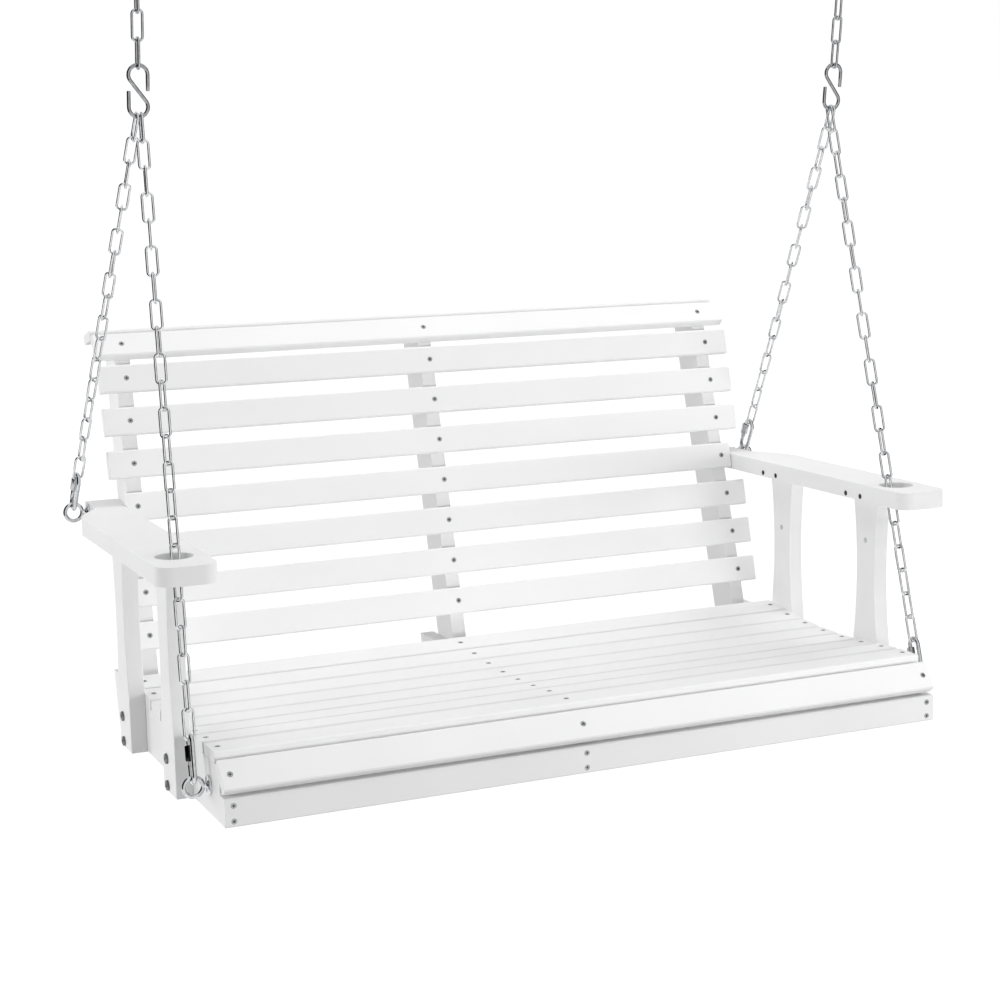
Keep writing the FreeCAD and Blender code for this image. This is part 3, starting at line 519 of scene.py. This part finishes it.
# Quick links: an open oval of wire whose mouth is closed by a hexagon sleeve on a thread
QUICK_WIRE, MOUTH_TOP, MOUTH_FOOT = 3 * MM, 14 * MM, 6 * MM
QUICK_THREAD, QUICK_PITCH, QUICK_ROOT, QUICK_CREST = 14 * MM, 1 * MM, 2.9 * MM, 3.3 * MM
SLEEVE_FLATS, SLEEVE_FACE, SLEEVE_CHAMFER, SLEEVE_BORE = 10 * MM, 4.4 * MM, 1 * MM, 3.5 * MM
SLIDES = {joint["child"]: Vector(joint["axis"]) for joint in frame["record"]["behaviour"]["joints"]
          if joint["type"] == "slide"}
for side in SIDES:
    for end in ENDS:
        link, sleeve = f"{side}_{end}_quick_link", f"{side}_{end}_sleeve"
        rise = -SLIDES[sleeve].normalized()
        normal = (X_AXIS - rise * rise.x).normalized()
        across = rise.cross(normal)
        loop, tube = solids_of(link)[0], solids_of(sleeve)[0]
        middle = middle_along(loop, (rise, normal, across))
        tube_middle = middle_along(tube, (rise, normal, across))
        across *= math.copysign(1, (tube_middle - middle).dot(across))
        leg = np.ptp(loop @ np.array(across)) / 2 - QUICK_WIRE
        bend = rise * (np.ptp(loop @ np.array(rise)) / 2 - QUICK_WIRE - leg)
        path = [middle + across * leg + rise * MOUTH_TOP]
        path += arc(middle + bend, across, rise, leg, 0, 180, 18)
        path += arc(middle - bend, across, rise, leg, 180, 360, 18)
        path += [middle + across * leg + rise * MOUTH_FOOT]
        bm = bmesh.new()
        round_wire(bm, path, normal, QUICK_WIRE)
        lathe(bm, path[-1] - rise * QUICK_THREAD, rise,
              threads(0, QUICK_THREAD, QUICK_PITCH, QUICK_ROOT, QUICK_CREST))
        piece_from(bm, link, "wire", smooth_angle=60)
        bm = bmesh.new()
        length = np.ptp(tube @ np.array(rise))
        hexagon_tube(bm, tube_middle - rise * (length / 2), rise, length,
                     SLEEVE_FLATS, SLEEVE_FACE, SLEEVE_CHAMFER, SLEEVE_BORE)
        piece_from(bm, sleeve, "hexagon", None if sleeve == "left_front_sleeve" else barrel_nut)

# Ceiling hooks: rod with a wood thread, a collar against the beam, and an open bowl
ROD, BOWL, BOWL_FALL, TIP_FALL = 4 * MM, 14 * MM, 31 * MM, 19 * MM
COLLAR, COLLAR_THICK, COLLAR_EASE = 9 * MM, 3 * MM, 0.8 * MM
# The rod leaves the collar, swings out to the bowl's side between these two heights, and runs into the bowl
ROD_START, SWING_START, SWING_END, SWING_STEPS = 1.5 * MM, 6 * MM, 29 * MM, 12
WOOD_THREAD, WOOD_PITCH, WOOD_ROOT, WOOD_POINT = 10 * MM, 3 * MM, 3.1 * MM, 6 * MM
for side in SIDES:
    node = f"{side}_ceiling_hook"
    low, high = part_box(node)
    foot = Vector(((low.x + high.x) / 2, 0, 0))
    path = [foot - Z_AXIS * ROD_START]
    for step in range(SWING_STEPS + 1):
        share = step / SWING_STEPS
        path.append(foot + Y_AXIS * (BOWL * share * share * (3 - 2 * share))
                    - Z_AXIS * (SWING_START + (SWING_END - SWING_START) * share))
    path += arc(foot - Z_AXIS * BOWL_FALL, Y_AXIS, Z_AXIS, BOWL, 0, -180, 22)
    path += [foot - Y_AXIS * BOWL - Z_AXIS * TIP_FALL]
    bm = bmesh.new()
    round_wire(bm, path, X_AXIS, ROD, sides=20)
    stations = [(-COLLAR_THICK, ROD), (-COLLAR_THICK, COLLAR - COLLAR_EASE),
                (-COLLAR_THICK + COLLAR_EASE, COLLAR), (-0.3 * MM, COLLAR), (0, COLLAR - 0.3 * MM),
                (0, ROD), (WOOD_THREAD - 2 * MM, ROD)]
    stations += threads(WOOD_THREAD, high.z - WOOD_POINT, WOOD_PITCH, WOOD_ROOT, ROD)
    stations += [(high.z - 2 * MM, 1.2 * MM), (high.z, 0.3 * MM)]
    lathe(bm, foot, Z_AXIS, stations)
    piece_from(bm, node, "rod", smooth_angle=50)

# The photograph's viewpoint: metres from the ceiling hooks, degrees, and the focal length in pixels
PICTURE, SENSOR = 1000, 36.0
VIEWPOINT = Vector((-1.2029, -2.64691, 0.03696))
YAW, PITCH, ROLL, FOCAL = 24.524, 16.183, 1.919, 2057.0
camera_data = bpy.data.cameras.new("photo_camera")
camera_data.sensor_width = SENSOR
camera_data.lens = FOCAL * SENSOR / PICTURE
camera = set_up("photo_camera", camera_data)
yaw, pitch, roll = (math.radians(angle) for angle in (YAW, PITCH, ROLL))
level = Vector((math.cos(yaw), -math.sin(yaw), 0))
ahead = Vector((math.sin(yaw) * math.cos(pitch), math.cos(yaw) * math.cos(pitch), -math.sin(pitch)))
over = level.cross(ahead)
right = level * math.cos(roll) + over * math.sin(roll)
up = right.cross(ahead)
camera.matrix_world = Matrix((right, up, -ahead)).transposed().to_4x4()
camera.location = VIEWPOINT
bpy.context.scene.camera = camera


# Floor, backdrop and light

def seen_directly(tree):
    """1 for rays that show the white paper or wall, also in metal, and 0 for the light that it gives."""
    rays = add(tree, "ShaderNodeLightPath")
    shown = add(tree, "ShaderNodeMath", {0: rays.outputs["Is Camera Ray"], 1: rays.outputs["Is Glossy Ray"]},
                operation="MAXIMUM")
    shown = add(tree, "ShaderNodeMath", {0: shown.outputs[0], 1: rays.outputs["Is Transmission Ray"]},
                operation="MAXIMUM")
    return shown.outputs[0]


def studio_sheet(name, half, material):
    """A square sheet of paper or felt, which belongs to the studio."""
    bm = bmesh.new()
    bmesh.ops.create_grid(bm, x_segments=1, y_segments=1, size=half)
    mesh = bpy.data.meshes.new(name)
    bm.to_mesh(mesh)
    bm.free()
    mesh.materials.append(material)
    return set_up(name, mesh)


# The paper glows a little more away from the bench, so that its far end meets the white wall.
# Lengths in metres.
FLOOR_HALF, FLOOR_FALL = 15, 0.4
GLOW_FROM, GLOW_TO, GLOW_NEAR, GLOW_FAR = 1.5, 4.0, 0.88, 0.95
paper, tree = finish("white_paper_floor")
shadow = add(tree, "ShaderNodeBsdfDiffuse", {"Color": linear("#8F8F8F")})
place = add(tree, "ShaderNodeTexCoord")
away = add(tree, "ShaderNodeVectorMath", {0: place.outputs["Object"]}, operation="LENGTH")
lit = add(tree, "ShaderNodeMapRange",
          {"Value": away.outputs["Value"], "From Min": GLOW_FROM, "From Max": GLOW_TO,
           "To Min": GLOW_NEAR, "To Max": GLOW_FAR})
glow = add(tree, "ShaderNodeEmission", {"Color": (1, 1, 1, 1), "Strength": lit.outputs["Result"]})
shown = add(tree, "ShaderNodeAddShader", {0: shadow.outputs[0], 1: glow.outputs[0]})
bounce = add(tree, "ShaderNodeBsdfDiffuse", {"Color": linear("#B0B0B0")})
either = add(tree, "ShaderNodeMixShader", {0: seen_directly(tree), 1: bounce.outputs[0], 2: shown.outputs[0]})
add(tree, "ShaderNodeOutputMaterial", {"Surface": either.outputs[0]})
floor = studio_sheet("studio_floor", FLOOR_HALF, paper)
floor.location.z = cad_box[0][2] - FLOOR_FALL

WALL_LIGHT, WALL_WHITE = 0.3, 1.0
world = bpy.data.worlds.new("white_studio")
bpy.context.scene.world = world
world.use_nodes = True
tree = world.node_tree
tree.nodes.clear()
light = add(tree, "ShaderNodeBackground", {"Color": (1, 1, 1, 1), "Strength": WALL_LIGHT})
white = add(tree, "ShaderNodeBackground", {"Color": (1, 1, 1, 1), "Strength": WALL_WHITE})
either = add(tree, "ShaderNodeMixShader", {0: seen_directly(tree), 1: light.outputs[0], 2: white.outputs[0]})
add(tree, "ShaderNodeOutputWorld", {"Surface": either.outputs[0]})

# Dark upright cards on both sides of the bench, seen only in reflections, give bright metal its dark edges
CARDS = (("left", (-2.1, 0.5, -0.4), 2.4), ("right", (2.2, 0.1, -0.4), 1.5))
felt, tree = finish("black_felt_card")
nap = add(tree, "ShaderNodeBsdfDiffuse", {"Color": linear("#101010")})
add(tree, "ShaderNodeOutputMaterial", {"Surface": nap.outputs["BSDF"]})
for side, place, half in CARDS:
    card = studio_sheet(f"{side}_dark_card", half, felt)
    card.location = place
    card.rotation_euler = (0, math.pi / 2, 0)
    for rays_seen in ("camera", "diffuse", "transmission", "volume_scatter", "shadow"):
        setattr(card, f"visible_{rays_seen}", False)

# Lamps: place, width and height in metres, and watts
LAMPS = (
    ("overhead_softbox", (-0.2, 0.35, 1.9), 2.0, 2.0, 36),
    ("left_softbox", (-5.5, -0.2, -0.3), 3.0, 3.0, 103),
    ("left_rear_softbox", (-4.6, 3.7, -0.4), 2.8, 2.8, 110),
    ("front_strip_softbox", (0.4, -3.6, -0.4), 2.4, 0.7, 29),
    ("right_strip_softbox", (2.3, -2.8, -0.45), 2.0, 0.7, 41),
    ("right_high_softbox", (2.4, 0.3, 1.3), 1.8, 1.8, 31),
)
LAMP_AIM = Vector((0, 0, -0.9))
for name, place, wide, high, watts in LAMPS:
    lamp = bpy.data.lights.new(name, "AREA")
    lamp.shape = "RECTANGLE"
    lamp.size = wide
    lamp.size_y = high
    lamp.energy = watts
    holder = set_up(name, lamp)
    holder.location = place
    holder.visible_glossy = False
    holder.rotation_euler = (LAMP_AIM - Vector(place)).to_track_quat("-Z", "Y").to_euler()

bpy.context.scene.view_settings.view_transform = "Standard"

bpy.context.view_layer.update()
